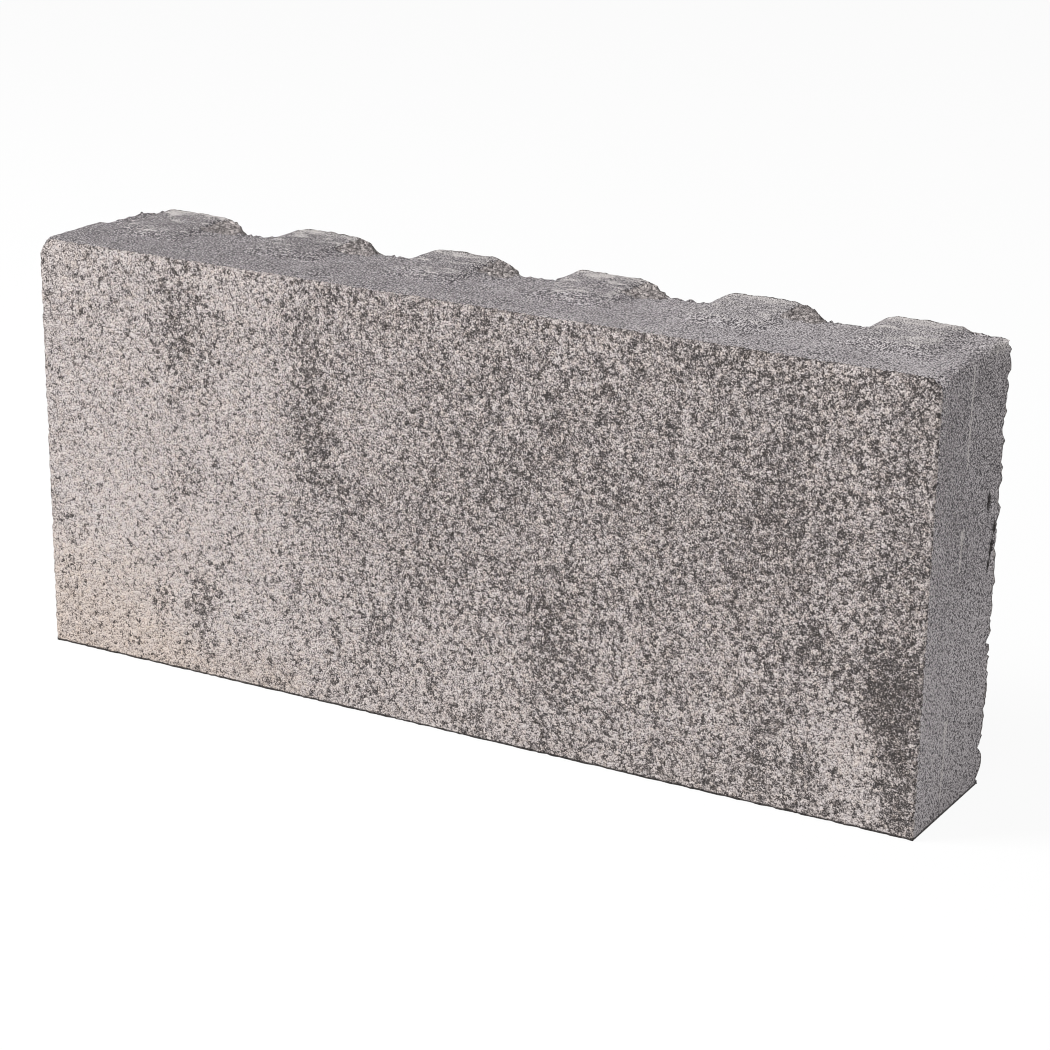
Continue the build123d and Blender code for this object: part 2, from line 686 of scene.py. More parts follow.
@dataclass(frozen=True)
class Wear:
    """Chips, notches, voids and blunted corners, in millimetres.

    The arrises round the fair face are chipped and its top corners blunted. The back arrises of the ends
    are notched, the top left end has a worn shelf, and the right end has voids and a notch at its foot.
    """

    chips: Wander = Wander(4.2, 3, 21.0, share=0.9)
    chip_bias: float = 0.1875
    chip_limits: tuple[float, float] = (-0.3375, 1.125)
    chip_reach: float = 2.6
    chip_front: float = 4.0
    chip_share: float = 0.6
    corner_round: float = 2.2
    corner_reach: float = 9.0
    notches: tuple[Wander, ...] = (Wander(6.0, 4, 31.0), Wander(19.0, 2, 33.0, share=0.6))
    notch_depth: float = 5.0
    notch_bias: float = 0.22
    notch_limits: tuple[float, float] = (-0.25, 1.1)
    notch_side_reach: float = 5.0
    notch_back_reach: float = 6.0
    end_round: float = 1.3
    end_reach: float = 4.5
    end_unevenness: Wander = Wander(6.0, 3, 35.0, share=0.5)
    foot_notch_height: float = 24.0
    foot_notch_reach: float = 13.0
    foot_notch_depth: float = 4.0
    foot_notch_stretch: float = 0.6
    foot_corner_reach: float = 9.0
    foot_corner_depth: float = 3.2
    shelf_drop: float = 2.6
    shelf_unevenness: Wander = Wander(7.0, 3, 51.0, share=0.9)
    shelf_end: tuple[float, float] = (22.0, 14.0)
    shelf_front: tuple[float, float] = (57.0, 61.0)
    shelf_fade: float = 6.0
    void_reach: float = 1.5
    void_shade: float = 1.6
    voids: tuple[Void, ...] = (
        Void(85.0, 176.0, 2.6, 5.0, 2.6),
        Void(94.0, 146.0, 2.8, 5.5, 2.4),
        Void(90.0, 137.0, 2.0, 3.4, 1.8),
        Void(96.0, 158.0, 2.2, 4.4, 2.0),
    )

    def apply(
        self, q: np.ndarray, p: np.ndarray, near: Inset, inward: np.ndarray, zones: dict[str, np.ndarray]
    ) -> np.ndarray:
        """Wears the block.

        Args:
            q: the points with their relief.
            p: the same points on the solid.
            near: their places in the block.
            inward: 1 or -1 along each axis, towards the block's middle.
            zones: the weights of the surface's kinds; the voids' painted shade is added to its painted
                shade.

        Returns:
            The worn points.
        """
        q = q.copy()
        self.chip_arrises(q, p, near, inward)
        for side in (near.left, near.right):
            self.wear_end(q, p, near, inward, side)
        self.notch_foot(q, near)
        shelf = smooth_step(*self.shelf_end, near.left) * smooth_step(*self.shelf_front, near.front)
        shelf *= np.exp(-np.clip(near.top, 0.0, None) / self.shelf_fade)
        q[:, 2] -= shelf * (self.shelf_drop + self.shelf_unevenness.at(p))
        for void in self.voids:
            across = (near.front - void.depth_place) / void.half_width
            up = (near.bed - void.z) / void.half_height
            hole = np.exp(-(across**2 + up**2)) * (near.right < self.void_reach)
            q[:, 0] -= hole * void.depth
            # painted shade: darkens the voids' insides, as the shade in them
            zones["painted_shade"] = np.maximum(zones["painted_shade"], self.void_shade * hole)
        return q

    def chip_arrises(self, q: np.ndarray, p: np.ndarray, near: Inset, inward: np.ndarray) -> None:
        """Chips the four arrises of the fair face.

        Args:
            q: the points, which are moved.
            p: the same points on the solid.
            near: their places in the block.
            inward: 1 or -1 along each axis, towards the block's middle.
        """
        bite = self.chip_share * np.clip(self.chips.at(p) + self.chip_bias, *self.chip_limits)
        for side, axis in ((near.left, 0), (near.right, 0), (near.top, 2), (near.bed, 2)):
            edge = bell(np.abs(near.front) + np.abs(side), self.chip_reach) * (near.front < self.chip_front)
            q[:, 1] += edge * bite
            q[:, axis] += inward[:, axis] * edge * bite

    def wear_end(
        self, q: np.ndarray, p: np.ndarray, near: Inset, inward: np.ndarray, side: np.ndarray
    ) -> None:
        """Blunts one end's top corner and top arris, and notches its back arris.

        Args:
            q: the points, which are moved.
            p: the same points on the solid.
            near: their places in the block.
            inward: 1 or -1 along each axis, towards the block's middle.
            side: how far the points lie inside the end.
        """
        reach = np.sqrt(near.front**2 + side**2 + near.top**2)
        q += inward * (np.clip(1.0 - reach / self.corner_reach, 0.0, 1.0) * self.corner_round)[:, None]
        teeth = sum(notch.at(p) for notch in self.notches) + self.notch_bias
        arris = bell(side, self.notch_side_reach) * bell(near.back, self.notch_back_reach)
        q[:, 1] -= arris * np.clip(teeth, *self.notch_limits) * self.notch_depth
        blunt = np.clip(1.0 - (side + np.abs(near.top)) / self.end_reach, 0.0, 1.0)
        blunt *= self.end_round * (1.0 + self.end_unevenness.at(p))
        q[:, 0] += inward[:, 0] * blunt
        q[:, 2] -= blunt

    def notch_foot(self, q: np.ndarray, near: Inset) -> None:
        """Notches the right end's back arris near its foot, and draws in the corner below.

        Args:
            q: the points, which are moved.
            near: their places in the block.
        """
        up = near.bed - self.foot_notch_height
        reach = np.sqrt(near.right**2 + up**2 + (self.foot_notch_stretch * near.back) ** 2)
        q[:, 1] -= self.foot_notch_depth * np.clip(1.0 - reach / self.foot_notch_reach, 0.0, 1.0)
        reach = np.sqrt(near.right**2 + near.back**2 + near.bed**2)
        q[:, 1] -= self.foot_corner_depth * np.clip(1.0 - reach / self.foot_corner_reach, 0.0, 1.0)


@dataclass
class WallBlock:
    """The block itself: its grid is laid on the frame's solid and given the relief of the concrete.

    Sizes are in millimetres, and pairs are the steps over which a kind of surface comes in. The body's
    own top is below the pads' crowns.
    """

    name: str = "wall_block_concrete"
    pad_height: float = 3.0
    pad_count: int = 6
    core_inset: float = 14.0
    back_inset: float = 45.0
    ray_start: float = 14.0
    ray_length: float = 135.0
    soften_front: float = 24.0
    soften_reach: float = 4.5
    soften_turns: int = 8
    soften_drop: float = 0.6
    soften_rim: float = 0.5
    top_tolerance: float = 0.02
    bed_tolerance: float = 0.01
    broken_sunk: tuple[float, float] = (0.5, 1.6)
    broken_rear: tuple[float, float] = (55.0, 65.0)
    back_skin: tuple[float, float] = (1.2, 0.4)
    fair_reach: tuple[float, float] = (5.5, -1.5)
    foot_rise: tuple[float, float] = (2.1, 0.9)
    foot_front: float = 3.0
    foot_front_lift: float = 0.7
    foot_painted_shade: float = 0.9
    tones: FaceTones = FaceTones()
    skin: SkinTones = SkinTones()
    torn: TornFlanks = TornFlanks()
    relief: Relief = Relief()
    wear: Wear = Wear()

    def __post_init__(self) -> None:
        """Reads the block's box from the frame."""
        low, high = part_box(BLOCK_NODE)
        self.low = np.array(low) / MM
        self.high = np.array(high) / MM
        self.body_top = self.high[2] - self.pad_height

    def inset(self, p: np.ndarray) -> Inset:
        """Measures how far points lie inside each side of the block."""
        low, high = self.low, self.high
        x, y, z = p.T
        return Inset(x - low[0], high[0] - x, y - low[1], high[1] - y, z - low[2], self.body_top - z)

    def lay_on_solid(self, points: np.ndarray) -> np.ndarray:
        """Moves each point of the box towards the block's core until it lies on the frame's solid.

        Args:
            points: the box's points.

        Returns:
            The same points on the solid, with its pads, eased arrises and broken back edge.
        """
        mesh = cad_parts[BLOCK_NODE].data
        corners = [v.co / MM for v in mesh.vertices]
        tree = BVHTree.FromPolygons(corners, [tuple(p.vertices) for p in mesh.polygons])
        inner_low = self.low + self.core_inset
        inner_high = np.array([
            self.high[0] - self.core_inset,
            self.high[1] - self.back_inset,
            self.body_top - self.back_inset,
        ])
        core = np.clip(points, inner_low, inner_high)
        towards = core - points
        towards /= np.linalg.norm(towards, axis=1, keepdims=True)
        laid = points.copy()
        for i, (point, way) in enumerate(zip(points, towards)):
            start = Vector(point - way * self.ray_start)
            hit = tree.ray_cast(start, Vector(way), self.ray_length)[0]
            if hit is not None:
                laid[i] = hit
        return self.soften(laid, tree)

    def soften(self, p: np.ndarray, tree: BVHTree) -> np.ndarray:
        """Rounds the pads' edges, which the damp mix leaves soft when the mould is lifted.

        Args:
            p: the points on the solid.
            tree: the solid, to read heights from.

        Returns:
            The points, with each on the top moved to the mean height round it.
        """
        soft = p.copy()
        near = self.inset(p)
        on_top = (near.top < self.top_tolerance) & (near.front > self.soften_front)
        turns = np.arange(self.soften_turns) * 2 * math.pi / self.soften_turns
        ring = np.stack([np.cos(turns), np.sin(turns)], axis=1) * self.soften_reach
        rings = np.concatenate([ring, 0.5 * ring])
        rim = self.soften_rim
        above = self.high[2] + self.pad_height
        for i in np.nonzero(on_top)[0]:
            heights = [p[i, 2]]
            for step in rings:
                place = np.clip(p[i, :2] + step, self.low[:2] + rim, self.high[:2] - rim)
                hit = tree.ray_cast(Vector((*place, above)), Vector((0, 0, -1)))[0]
                heights.append(hit.z if hit.z > self.body_top - self.soften_drop else p[i, 2])
            soft[i, 2] = sum(heights) / len(heights)
        return soft

    def build(self) -> bpy.types.Object:
        """Makes the block's mesh, with the attributes that its material reads.

        Returns:
            The block's object, not yet dressed.
        """
        box_high = np.array([self.high[0], self.high[1], self.body_top])
        points, faces = BlockGrid(self.low, box_high).build()
        laid = self.lay_on_solid(points)
        mesh = bpy.data.meshes.new(self.name)
        mesh.from_pydata((laid * MM).tolist(), [], faces)
        mesh.update()
        normals = np.empty(len(laid) * 3, np.float32)
        mesh.vertex_normals.foreach_get("vector", normals)
        normals = normals.reshape(-1, 3).astype(float)
        near = self.inset(laid)
        back = smooth_step(*self.back_skin, near.back)
        zones = self.zones(laid, near, back)
        shaped = laid + normals * self.relief.height(laid, normals, near, zones, back)[:, None]
        centre = np.array([0.0, 0.0, (self.body_top + self.low[2]) / 2])
        shaped = self.wear.apply(shaped, laid, near, np.sign(centre - laid), zones)
        shaped[:, 2] = np.maximum(shaped[:, 2], self.low[2])
        mesh.vertices.foreach_set("co", (shaped * MM).astype(np.float32).ravel())
        for name, values in zones.items():
            attribute = mesh.attributes.new(name, "FLOAT", "POINT")
            attribute.data.foreach_set("value", values.astype(np.float32))
        mesh.polygons.foreach_set("use_smooth", [True] * len(mesh.polygons))
        mesh.update()
        block = bpy.data.objects.new(self.name, mesh)
        bpy.context.scene.collection.objects.link(block)
        return block

    def zones(self, p: np.ndarray, near: Inset, back: np.ndarray) -> dict[str, np.ndarray]:
        """Says what each point's surface is and how it is toned.

        Args:
            p: the points on the solid.
            near: their places in the block.
            back: the weight of the back.

        Returns:
            For each name that the material reads, a value at each point.
        """
        sunk = np.minimum.reduce([near.top, near.back, near.right, near.left, near.bed])
        broken = smooth_step(*self.broken_sunk, sunk) * smooth_step(*self.broken_rear, near.front)
        pitch = (self.high[0] - self.low[0]) / self.pad_count
        torn = self.torn.at(p, near, pitch)
        # painted contact shadow: the sides are darkened in their lowest 1 to 2 mm, a little higher on the
        # fair face, but not on the bed itself
        foot_height = near.bed - self.foot_front_lift * (near.front < self.foot_front)
        foot = smooth_step(*self.foot_rise, foot_height) * (np.abs(near.bed) > self.bed_tolerance)
        return {
            "fair": smooth_step(*self.fair_reach, near.front),
            "broken": np.maximum.reduce([broken, torn, back]),
            "rub": self.skin.rub(p, near),
            "painted_light_and_mottle": self.skin.painted_light_and_mottle(p, near),
            **self.tones.at(near),
            "painted_shade": self.foot_painted_shade * foot,
        }


@dataclass(frozen=True)
class FairFaceMix:
    """Facing concrete with its cement skin off: crushed grains of 1 to 4 mm in pale and dark cement.

    The eye sees each grain by itself, with small shadows between them, which are bumped and also painted
    darker into the colour. In pale places the dark grains stand apart as specks, and in dark places only
    the odd pale grain is left.
    """

    patch_share: float = 1.0
    grit_share: float = 3.1
    grain_share: float = 0.32
    chip_share: float = 0.42
    chip_gap_shade: float = -0.75
    grain_gap_shade: float = -0.375
    cluster_share: float = 1.4
    chance_share: float = 0.8
    chance_offset: float = 0.1
    speck_fade: float = 0.22
    speck_spread: float = 0.4
    speck_edge: tuple[float, float] = (0.96, 1.04)
    tone_span: tuple[float, float] = (-0.1, 1.2)
    grit_height: float = 0.6
    grain_height: float = -1.1
    chip_height: float = -0.8
    patch_height: float = 0.8
    tones: tuple[tuple[float, str], ...] = (
        (0.0, "#3f3b3a"),
        (0.25, "#585352"),
        (0.46, "#7d7674"),
        (0.65, "#9a9290"),
        (0.8, "#ada4a1"),
        (1.0, "#c8bfbc"),
    )
    hues: tuple[tuple[float, str], ...] = (
        (0.0, "#ffffff"),
        (0.55, "#fcfdff"),
        (0.76, "#fffdfb"),
        (0.88, "#fffdfa"),
        (0.95, "#ffffff"),
    )
    warm: str = "#fffaf3"


@dataclass(frozen=True)
class MouldSkin:
    """Dry-cast concrete off a steel mould: cement paste and sand pressed smooth.

    The eye sees an even bluish grey, sprinkled with pin-head pores, painted dark as the shade in them, and
    pale sand grains.
    """

    pore_radius: float = 0.62
    pore_edge: tuple[float, float] = (-0.04, 0.08)
    painted_light_and_mottle_share: float = 0.05
    rub_grit_share: float = 2.4
    rub_span: tuple[float, float] = (1.84, 2.4)
    rub_limit: float = 0.85
    grit_height: float = 0.75
    pore_height: float = -0.25
    tones: tuple[tuple[float, str], ...] = (
        (0.385, "#4a474a"),
        (0.5, "#918b8d"),
        (0.615, "#cec8ca"),
    )
    pore_shade_colour: str = "#3f3c3f"
    rubbed: str = "#cdc7c5"


@dataclass(frozen=True)
class BrokenCore:
    """Broken or unsmoothed backing concrete: grains of about 2.4 mm in torn cement.

    Nothing has pressed it smooth, so the eye sees pale grey stones with deep gaps round them, painted dark
    as the shade in them.
    """

    stones: tuple[tuple[float, str], ...] = (
        (0.0, "#787271"),
        (0.35, "#989190"),
        (0.7, "#b3aaa8"),
        (1.0, "#cfc7c4"),
    )
    gap: str = "#4a4544"
    grit_share: float = 1.2
    tone_offset: float = 0.6
    gap_shade_span: tuple[float, float] = (0.5, 0.85)
    gap_shade_share: float = 0.75
    grain_height: float = -1.6


@dataclass
class Patterns:
    """The grain patterns that the whole block's concrete shares, so that each is worked out once.

    said holds what the mesh's attributes say at each place, by their names.
    """

    in_mm: bpy.types.NodeSocket
    grit: bpy.types.NodeSocket
    patch: bpy.types.NodeSocket
    grain_distance: bpy.types.NodeSocket
    chip_distance: bpy.types.NodeSocket
    chances: tuple[bpy.types.NodeSocket, ...]
    chip_chances: tuple[bpy.types.NodeSocket, ...]
    said: dict[str, bpy.types.NodeSocket]


@dataclass
class Surface:
    """The colour and the height of one kind of surface."""

    colour: bpy.types.NodeSocket
    height: bpy.types.NodeSocket


@dataclass(frozen=True)
class Concrete:
    """The block's one material, with the facing mix, the mould skin and the broken core in it.

    Pattern sizes are in millimetres: grains of 2.4, chips of 1.25 and grit of 1.0. The grit is drawn
    coarser than the cement's own sand, which is too fine to show. What varies over centimetres comes
    from the mesh's attributes. Each scuff has its lower end, its upper end and half its width.
    """

    name: str = "dry_cast_concrete"
    facing: FairFaceMix = FairFaceMix()
    skin: MouldSkin = MouldSkin()
    core: BrokenCore = BrokenCore()
    grain: float = 2.4
    chip: float = 1.25
    grit: float = 1.0
    patch: float = 3.4
    stir_detail: float = 1.0
    grit_detail: float = 1.0
    grit_roughness: float = 0.6
    patch_detail: float = 2.0
    patch_roughness: float = 0.65
    stir: float = 2.4
    chip_stir: float = 0.8
    relief: float = 1.7
    roughness: float = 0.93
    specular: float = 0.25
    shade_colour: str = "#242120"
    border_zone_share: float = 1.8
    border_patch_share: float = 2.4
    border_edge: tuple[float, float] = (2.02, 2.2)
    shade_span: tuple[float, float] = (0.25, 0.8)
    shade_share: float = 0.9
    scuff_place: float = 43.0
    scuff_depth: float = 1.5
    scuff_wobble: float = 5.0
    scuff_lean: float = -0.025
    scuff_bend: float = 1.5
    scuff_span: tuple[float, float] = (0.34, 0.47)
    scuff_share: float = 0.9
    scuffs: tuple[tuple[float, float, float], ...] = (
        (205.0, 262.0, 1.3),
        (146.0, 170.0, 1.1),
        (162.0, 170.0, 2.6),
        (10.0, 59.0, 1.1),
        (50.0, 59.0, 2.4),
    )

    def build(self, block: WallBlock) -> bpy.types.Material:
        """Makes the material.

        Args:
            block: the block that it is for, whose box places the scuffs.

        Returns:
            The finished material.
        """
        material = bpy.data.materials.new(self.name)
        material.use_nodes = True
        tree = material.node_tree
        tree.nodes.clear()
        patterns = self.patterns(tree)
        surface = self.skin_surface(tree, patterns, block)
        for zone, other in (
            ("broken", self.core_surface(tree, patterns)), ("fair", self.facing_surface(tree, patterns)),
        ):
            surface = self.blend(tree, patterns, surface, other, zone)
        # painted shade: darkens the block's foot, as a painted contact shadow, and the insides of the end's
        # voids towards a near-black colour
        shade_mask = add_node(
            tree, "ShaderNodeMapRange", {"interpolation_type": "SMOOTHSTEP"},
            {
                "Value": patterns.said["painted_shade"],
                "From Min": self.shade_span[0],
                "From Max": self.shade_span[1],
                "To Max": self.shade_share,
            },
        ).outputs[0]
        colour = add_node(
            tree, "ShaderNodeMix", {"data_type": "RGBA"},
            {0: shade_mask, 6: surface.colour, 7: linear(self.shade_colour)},
        ).outputs[2]
        bump = add_node(
            tree, "ShaderNodeBump", None,
            {"Height": surface.height, "Strength": 1.0, "Distance": self.relief * MM},
        )
        shader = add_node(
            tree, "ShaderNodeBsdfPrincipled", None,
            {
                "Base Color": colour,
                "Normal": bump.outputs[0],
                "Roughness": self.roughness,
                "Specular IOR Level": self.specular,
            },
        )
        add_node(tree, "ShaderNodeOutputMaterial", None, {"Surface": shader.outputs[0]})
        return material

    def patterns(self, tree: bpy.types.NodeTree) -> Patterns:
        """Adds the grain patterns that all the surfaces share.

        Args:
            tree: the material's tree.

        Returns:
            The patterns.
        """
        places = add_node(tree, "ShaderNodeTexCoord")
        in_mm = add_node(
            tree, "ShaderNodeVectorMath", {"operation": "SCALE"},
            {0: places.outputs["Object"], "Scale": 1 / MM},
        ).outputs[0]
        stir = add_node(
            tree, "ShaderNodeTexNoise", None,
            {"Vector": in_mm, "Scale": 1 / self.grain, "Detail": self.stir_detail},
        ).outputs["Color"]
        cells = []
        for spacing, reach in ((self.grain, self.stir), (self.chip, self.chip_stir)):
            stirred = add_node(
                tree, "ShaderNodeVectorMath", {"operation": "MULTIPLY_ADD"},
                {0: stir, 1: (reach, reach, reach), 2: in_mm},
            ).outputs[0]
            cells.append(add_node(
                tree, "ShaderNodeTexVoronoi", None, {"Vector": stirred, "Scale": 1 / spacing}
            ))
        grains, chips = cells
        grit = add_node(
            tree, "ShaderNodeTexNoise", None,
            {
                "Vector": in_mm,
                "Scale": 1 / self.grit,
                "Detail": self.grit_detail,
                "Roughness": self.grit_roughness,
            },
        ).outputs[0]
        patch = add_node(
            tree, "ShaderNodeTexNoise", None,
            {
                "Vector": in_mm,
                "Scale": 1 / self.patch,
                "Detail": self.patch_detail,
                "Roughness": self.patch_roughness,
            },
        ).outputs[0]
        chances = add_node(tree, "ShaderNodeSeparateColor", None, {0: grains.outputs["Color"]})
        chip_chances = add_node(tree, "ShaderNodeSeparateColor", None, {0: chips.outputs["Color"]})
        said = {
            name: add_node(tree, "ShaderNodeAttribute", {"attribute_name": name}).outputs["Fac"]
            for name in ("fair", "broken", "rub", "painted_light_and_mottle", "light", "specks", "warm", "painted_shade")
        }
        return Patterns(
            in_mm, grit, patch, grains.outputs["Distance"], chips.outputs["Distance"],
            tuple(chances.outputs), tuple(chip_chances.outputs), said,
        )

    def blend(
        self, tree: bpy.types.NodeTree, patterns: Patterns, under: Surface, over: Surface, zone: str
    ) -> Surface:
        """Lays one surface over another where the mesh says so, with an uneven border.

        Args:
            tree: the material's tree.
            patterns: the shared patterns.
            under: the surface that is there so far.
            over: the one laid over it.
            zone: the attribute that says where.

        Returns:
            The two together.
        """
        uneven = weighed(tree, 0.0, [
            (patterns.said[zone], self.border_zone_share),
            (patterns.patch, self.border_patch_share),
        ])
        share = add_node(
            tree, "ShaderNodeMapRange", {"interpolation_type": "SMOOTHSTEP"},
            {"Value": uneven, "From Min": self.border_edge[0], "From Max": self.border_edge[1]},
        ).outputs[0]
        colour = add_node(
            tree, "ShaderNodeMix", {"data_type": "RGBA"}, {0: share, 6: under.colour, 7: over.colour}
        ).outputs[2]
        height = add_node(
            tree, "ShaderNodeMix", {"data_type": "FLOAT"}, {0: share, 2: under.height, 3: over.height}
        ).outputs[0]
        return Surface(colour, height)

    def facing_surface(self, tree: bpy.types.NodeTree, patterns: Patterns) -> Surface:
        """Adds the fair face's grains.

        Args:
            tree: the material's tree.
            patterns: the shared patterns.

        Returns:
            The fair face.
        """
        mix = self.facing
        odds = weighed(tree, mix.cluster_share / 2 + mix.chance_offset, [
            (patterns.said["specks"], 1.0),
            (patterns.chances[2], mix.chance_share),
            (patterns.patch, -mix.cluster_share),
        ])
        speck = add_node(
            tree, "ShaderNodeMapRange", {"interpolation_type": "SMOOTHSTEP"},
            {"Value": odds, "From Min": mix.speck_edge[0], "From Max": mix.speck_edge[1]},
        ).outputs[0]
        fade = weighed(tree, mix.speck_fade - 1.0, [(patterns.chip_chances[1], mix.speck_spread)])
        kept = weighed(tree, 1.0, [(speck, fade)])
        shares = [
            (patterns.patch, mix.patch_share),
            (patterns.grit, mix.grit_share),
            (patterns.chances[0], mix.grain_share),
            (patterns.chip_chances[0], mix.chip_share),
            # painted shade: the colour darkens towards the grains' and chips' edges, as the small shadows
            # between them
            (patterns.chip_distance, mix.chip_gap_shade),
            (patterns.grain_distance, mix.grain_gap_shade),
        ]
        light = weighed(tree, 0.0, [(patterns.said["light"], kept), *shares])
        middle = sum(share for _, share in shares) / 2
        tone = add_node(
            tree, "ShaderNodeMapRange", None,
            {
                "Value": light,
                "From Min": middle + mix.tone_span[0],
                "From Max": middle + mix.tone_span[1],
            },
        ).outputs[0]
        colour = add_node(tree, "ShaderNodeValToRGB", None, {0: tone}, list(mix.tones)).outputs[0]
        hue = add_node(tree, "ShaderNodeValToRGB", None, {0: patterns.chances[1]}, list(mix.hues))
        hue.color_ramp.interpolation = "CONSTANT"
        for share, tint in ((1.0, hue.outputs[0]), (patterns.said["warm"], linear(mix.warm))):
            colour = add_node(
                tree, "ShaderNodeMix", {"data_type": "RGBA", "blend_type": "MULTIPLY"},
                {0: share, 6: colour, 7: tint},
            ).outputs[2]
        height = weighed(tree, 0.0, [
            (patterns.grit, mix.grit_height),
            (patterns.grain_distance, mix.grain_height),
            (patterns.chip_distance, mix.chip_height),
            (patterns.patch, mix.patch_height),
        ])
        return Surface(colour, height)

    def skin_surface(self, tree: bpy.types.NodeTree, patterns: Patterns, block: WallBlock) -> Surface:
        """Adds the smooth skin of the top and the ends, with its rubbed pads and scuffs.

        Args:
            tree: the material's tree.
            patterns: the shared patterns.
            block: the block, whose box places the scuffs.

        Returns:
            The skin.
        """
        skin = self.skin
        tone = weighed(tree, patterns.grit, [(patterns.said["painted_light_and_mottle"], skin.painted_light_and_mottle_share)])
        colour = add_node(tree, "ShaderNodeValToRGB", None, {0: tone}, list(skin.tones)).outputs[0]
        inside = weighed(tree, 0.0, [
            (patterns.chip_chances[2], skin.pore_radius), (patterns.chip_distance, -1.0),
        ])
        pore = add_node(
            tree, "ShaderNodeMapRange", {"interpolation_type": "SMOOTHSTEP"},
            {"Value": inside, "From Min": skin.pore_edge[0], "From Max": skin.pore_edge[1]},
        ).outputs[0]
        rub = weighed(tree, patterns.patch, [
            (patterns.said["rub"], 1.0), (patterns.grit, skin.rub_grit_share),
        ])
        worn = add_node(
            tree, "ShaderNodeMapRange", {"interpolation_type": "SMOOTHSTEP"},
            {
                "Value": rub,
                "From Min": skin.rub_span[0],
                "From Max": skin.rub_span[1],
                "To Max": skin.rub_limit,
            },
        ).outputs[0]
        # painted shade: the pores are darkened as the shade in them; the rubbed and scuffed places are
        # paler from wear
        for share, other in (
            (pore, skin.pore_shade_colour),
            (worn, skin.rubbed),
            (self.scuffing(tree, patterns, block), skin.rubbed),
        ):
            colour = add_node(
                tree, "ShaderNodeMix", {"data_type": "RGBA"}, {0: share, 6: colour, 7: linear(other)}
            ).outputs[2]
        height = weighed(tree, 0.0, [(patterns.grit, skin.grit_height), (pore, skin.pore_height)])
        return Surface(colour, height)

    def scuffing(
        self, tree: bpy.types.NodeTree, patterns: Patterns, block: WallBlock
    ) -> bpy.types.NodeSocket:
        """Adds the thin pale scuffs that run up the right end.

        Args:
            tree: the material's tree.
            patterns: the shared patterns.
            block: the block, whose box places them.

        Returns:
            How much of a scuff is at each place.
        """
        axes = add_node(tree, "ShaderNodeSeparateXYZ", None, {0: patterns.in_mm}).outputs
        wobble = weighed(tree, axes[1], [
            (patterns.patch, self.scuff_wobble),
            (axes[2], self.scuff_lean),
            (patterns.said["painted_light_and_mottle"], self.scuff_bend),
        ])
        middle = float(block.low[1] + self.scuff_place)
        share: Any = 0.0
        for low, high, half_width in self.scuffs:
            line = add_node(
                tree, "ShaderNodeMath", {"operation": "COMPARE"}, {0: wobble, 1: middle, 2: half_width}
            ).outputs[0]
            span = add_node(
                tree, "ShaderNodeMath", {"operation": "COMPARE"},
                {0: axes[2], 1: (low + high) / 2, 2: (high - low) / 2},
            ).outputs[0]
            mark = add_node(
                tree, "ShaderNodeMath", {"operation": "MULTIPLY"}, {0: line, 1: span}
            ).outputs[0]
            share = add_node(
                tree, "ShaderNodeMath", {"operation": "MAXIMUM"}, {0: share, 1: mark}
            ).outputs[0]
        on_end = add_node(
            tree, "ShaderNodeMath", {"operation": "GREATER_THAN"},
            {0: axes[0], 1: float(block.high[0] - self.scuff_depth)},
        ).outputs[0]
        share = add_node(
            tree, "ShaderNodeMath", {"operation": "MULTIPLY"}, {0: share, 1: on_end}
        ).outputs[0]
        worn = add_node(
            tree, "ShaderNodeMapRange", None,
            {
                "Value": patterns.grit,
                "From Min": self.scuff_span[0],
                "From Max": self.scuff_span[1],
                "To Max": self.scuff_share,
            },
        ).outputs[0]
        return add_node(tree, "ShaderNodeMath", {"operation": "MULTIPLY"}, {0: share, 1: worn}).outputs[0]

    def core_surface(self, tree: bpy.types.NodeTree, patterns: Patterns) -> Surface:
        """Adds the stones of the broken and unsmoothed concrete.

        Args:
            tree: the material's tree.
            patterns: the shared patterns.

        Returns:
            The broken concrete.
        """
        core = self.core
        tone = weighed(tree, -core.tone_offset, [
            (patterns.grit, core.grit_share), (patterns.chances[0], 1.0),
        ])
        colour = add_node(tree, "ShaderNodeValToRGB", None, {0: tone}, list(core.stones)).outputs[0]
        # painted shade: the gaps between the stones are darkened as the shade in them
        gap = add_node(
            tree, "ShaderNodeMapRange", {"interpolation_type": "SMOOTHSTEP"},
            {
                "Value": patterns.grain_distance,
                "From Min": core.gap_shade_span[0],
                "From Max": core.gap_shade_span[1],
                "To Max": core.gap_shade_share,
            },
        ).outputs[0]
        colour = add_node(
            tree, "ShaderNodeMix", {"data_type": "RGBA"}, {0: gap, 6: colour, 7: linear(core.gap)}
        ).outputs[2]
        height = weighed(tree, patterns.grit, [(patterns.grain_distance, core.grain_height)])
        return Surface(colour, height)


@dataclass(frozen=True)
class Lamp:
    """A square softbox: its place and its side in millimetres, and its power in watts."""

    name: str
    place: tuple[float, float, float]
    side: float
    watts: float

    def build(self, aim: Vector) -> None:
        """Hangs the lamp.

        Args:
            aim: the place that it faces, in metres.
        """
        data = bpy.data.lights.new(self.name, "AREA")
        data.shape = "SQUARE"
        data.size = self.side * MM
        data.energy = self.watts
        lamp = bpy.data.objects.new(self.name, data)
        lamp.location = Vector(self.place) * MM
        lamp.rotation_euler = (aim - lamp.location).to_track_quat("-Z", "Y").to_euler()
        bpy.context.scene.collection.objects.link(lamp)


